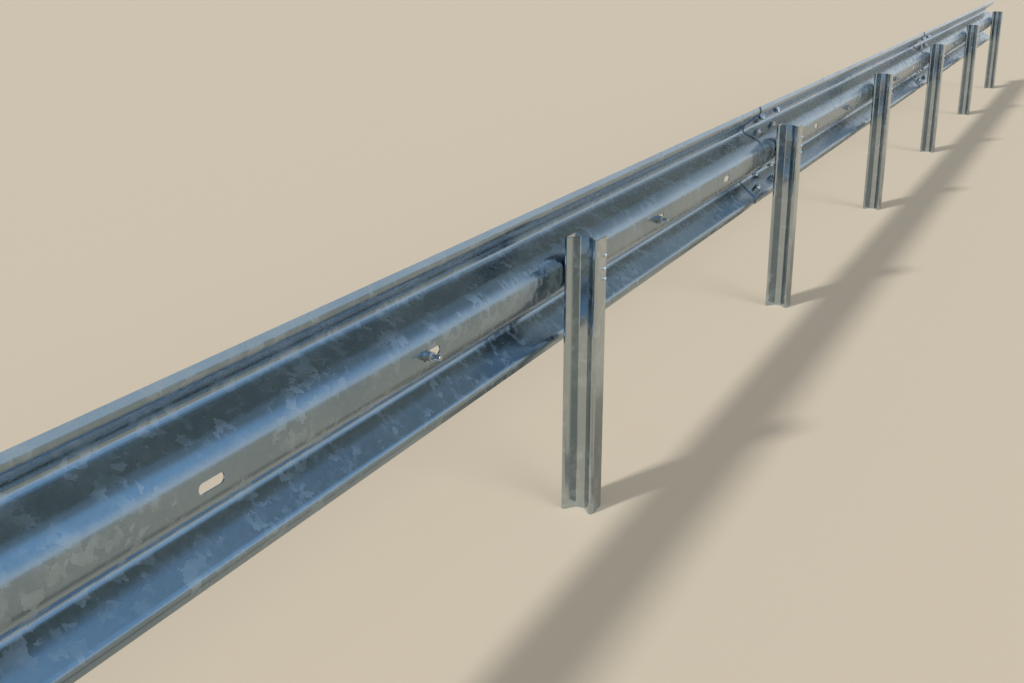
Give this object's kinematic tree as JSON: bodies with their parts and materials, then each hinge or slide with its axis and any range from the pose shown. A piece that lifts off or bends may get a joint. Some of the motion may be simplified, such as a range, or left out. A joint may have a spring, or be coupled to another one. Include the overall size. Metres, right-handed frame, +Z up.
{
  "type": "highway guardrail section",
  "caption": "Straight roadside guardrail: W-shaped steel rail panels lapped end to end and bolted to a row of sigma posts, all hot-dip galvanised.",
  "frame": {"origin": "middle of the middle post's foot, at ground level, in the flat of its web groove and on its bolt line", "axes": "+X along the rail, downstream, the way that the posts' open sides face; +Y to the road; +Z up"},
  "size_m": [12.376, 0.1733, 0.7865],
  "materials": {
    "rail_sheet": "hot-dip galvanised sheet, glossy, with a mottled spangle",
    "post_steel": "hot-dip galvanised cold-formed section, smooth with bright bends",
    "fastener_steel": "hot-dip galvanised forgings and plates"
  },
  "bodies": {
    "root": {"rail_panel_1": "rail_sheet", "rail_panel_2": "rail_sheet", "rail_panel_3": "rail_sheet", "post_1": "post_steel", "post_2": "post_steel", "post_3": "post_steel", "post_4": "post_steel", "post_5": "post_steel", "post_6": "post_steel", "post_7": "post_steel", "plate_washer_1": "fastener_steel", "plate_washer_2": "fastener_steel", "plate_washer_3": "fastener_steel", "plate_washer_4": "fastener_steel", "plate_washer_5": "fastener_steel", "plate_washer_6": "fastener_steel", "plate_washer_7": "fastener_steel"}
  },
  "joints": []
}
